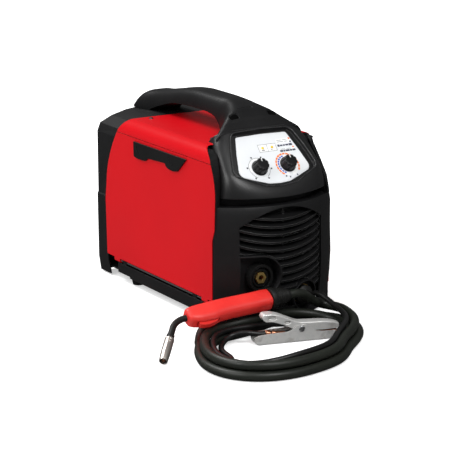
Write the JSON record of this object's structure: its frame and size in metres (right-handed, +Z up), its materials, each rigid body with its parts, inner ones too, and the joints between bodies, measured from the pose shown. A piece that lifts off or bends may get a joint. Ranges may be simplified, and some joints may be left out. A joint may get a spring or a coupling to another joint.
{
  "type": "mig welding machine",
  "caption": "Portable wire welding machine in a folded red cover with black mouldings, carry handle, sloping control panel, front louvres, coiled torch lead and work clamp.",
  "frame": {"origin": "centre of the machine's footprint on the floor", "axes": "+Z up, +Y from the control side to the back, +X to the right seen from the control side"},
  "size_m": [0.4243, 0.7455, 0.365],
  "materials": {
    "black_plastic": "fine textured moulded plastic, charcoal black",
    "foot_rubber": "soft black rubber",
    "panel_film": "silver grey printed panel",
    "window": "pale window",
    "led": "amber lens",
    "board": "green circuit board",
    "steel": "zinc plated steel",
    "red_paint": "glossy red powder coat",
    "fan_plastic": "black fan plastic",
    "red_plastic": "red plastic",
    "brass": "turned brass",
    "spool_plastic": "dark spool plastic",
    "copper": "copper",
    "cast_alloy": "cast and extruded aluminium",
    "windings": "laminated core with windings",
    "plug_plastic": "black moulded rubber",
    "torch_red": "satin red plastic",
    "neck_sleeve": "black insulating sleeve",
    "nickel": "nickel plated brass",
    "hose_rubber": "dull dark rubber",
    "zinc_steel": "galvanised pressed steel"
  },
  "bodies": {
    "machine": {"base_tray": "black_plastic", "feet": "foot_rubber", "front_moulding": "black_plastic", "front_louvres": "black_plastic", "panel_housing": "black_plastic", "control_panel": "panel_film", "indicator_window": "window", "indicator_leds": "led", "control_board": "board", "potentiometers": "steel", "handle": "black_plastic", "top_cover": "red_paint", "rear_moulding": "black_plastic", "fan_grille": "black_plastic", "fan_frame": "fan_plastic", "mains_switch_frame": "black_plastic", "mains_gland": "black_plastic", "gas_inlet": "brass", "cover_screws": "steel", "hinge_pin": "steel", "divider": "steel", "spool_axle": "black_plastic", "feed_bracket": "cast_alloy", "feed_motor": "steel", "wire_guides": "brass", "inverter_board": "board", "heat_sink": "cast_alloy", "transformer": "windings", "torch_socket": "black_plastic", "torch_socket_bush": "brass", "earth_socket": "brass", "earth_plug": "plug_plastic", "torch_handle": "torch_red", "torch_neck": "neck_sleeve", "contact_tip": "copper", "torch_collar": "plug_plastic", "torch_lead": "hose_rubber", "torch_lead_coil": "hose_rubber", "torch_connector": "plug_plastic", "clamp_lower_arm": "zinc_steel", "clamp_spring": "zinc_steel", "earth_lead": "hose_rubber", "earth_lead_coil": "hose_rubber"},
    "door": {"side_door": "red_paint", "latch_plate": "black_plastic", "latch_catches": "black_plastic"},
    "left_knob": {"knob_left": "black_plastic"},
    "right_knob": {"knob_right": "black_plastic"},
    "rocker": {"mains_switch_rocker": "red_plastic"},
    "spool": {"wire_spool": "spool_plastic", "wire_pack": "copper"},
    "nut": {"spool_nut": "black_plastic"},
    "fan": {"fan_rotor": "fan_plastic"},
    "roller": {"drive_roller": "steel"},
    "arm": {"pressure_arm": "cast_alloy"},
    "idler": {"idler_roller": "steel"},
    "tension": {"tension_knob": "red_plastic"},
    "trigger": {"torch_trigger": "torch_red"},
    "nozzle": {"gas_nozzle": "nickel"},
    "jaw": {"clamp_upper_arm": "zinc_steel"}
  },
  "joints": [
    {"name": "door_hinge", "type": "hinge", "parent": "machine", "child": "door", "pos_m": [-0.116, 0, 0.039], "axis": [0, -1, 0], "range_deg": [0, 95]},
    {"name": "left_knob_turn", "type": "hinge", "parent": "machine", "child": "left_knob", "pos_m": [-0.0285, -0.186, 0.265], "axis": [0, -0.7501, 0.6613], "range_deg": [-135, 135]},
    {"name": "right_knob_turn", "type": "hinge", "parent": "machine", "child": "right_knob", "pos_m": [0.0285, -0.186, 0.265], "axis": [0, -0.7501, 0.6613], "range_deg": [-135, 135]},
    {"name": "rocker_tilt", "type": "hinge", "parent": "machine", "child": "rocker", "pos_m": [-0.06, 0.226, 0.14], "axis": [1, 0, 0], "range_deg": [-12, 0]},
    {"name": "spool_spin", "type": "hinge", "parent": "machine", "child": "spool", "pos_m": [-0.0725, 0.055, 0.165], "axis": [1, 0, 0], "continuous": true},
    {"name": "spool_nut_turn", "type": "hinge", "parent": "machine", "child": "nut", "pos_m": [-0.106, 0.055, 0.165], "axis": [1, 0, 0], "continuous": true},
    {"name": "fan_spin", "type": "hinge", "parent": "machine", "child": "fan", "pos_m": [0.048, 0.216, 0.13], "axis": [0, 1, 0], "continuous": true},
    {"name": "drive_roller_spin", "type": "hinge", "parent": "machine", "child": "roller", "pos_m": [-0.041, -0.09, 0.105], "axis": [1, 0, 0], "continuous": true},
    {"name": "pressure_arm_lift", "type": "hinge", "parent": "machine", "child": "arm", "pos_m": [-0.043, -0.124, 0.142], "axis": [1, 0, 0], "range_deg": [0, 60]},
    {"name": "idler_spin", "type": "hinge", "parent": "arm", "child": "idler", "pos_m": [-0.042, -0.09, 0.132], "axis": [1, 0, 0], "continuous": true},
    {"name": "tension_knob_turn", "type": "hinge", "parent": "arm", "child": "tension", "pos_m": [-0.049, -0.054, 0.147], "axis": [0, 0, 1], "continuous": true},
    {"name": "trigger_press", "type": "hinge", "parent": "machine", "child": "trigger", "pos_m": [-0.1681, -0.26895, 0.04581], "axis": [0.064, 0.4907, -0.869], "range_deg": [0, 4.5], "stiffness_Nm_per_rad": 0.4, "springref_deg": -5.73},
    {"name": "nozzle_turn", "type": "hinge", "parent": "machine", "child": "nozzle", "pos_m": [-0.26446, -0.28672, 0.02868], "axis": [-0.6143, -0.6669, -0.4218], "continuous": true},
    {"name": "jaw_open", "type": "hinge", "parent": "machine", "child": "jaw", "pos_m": [-0.03644, -0.32284, 0.023], "axis": [-0.2419, -0.9703, 0], "range_deg": [0, 15], "stiffness_Nm_per_rad": 2.5, "springref_deg": -14.32}
  ]
}
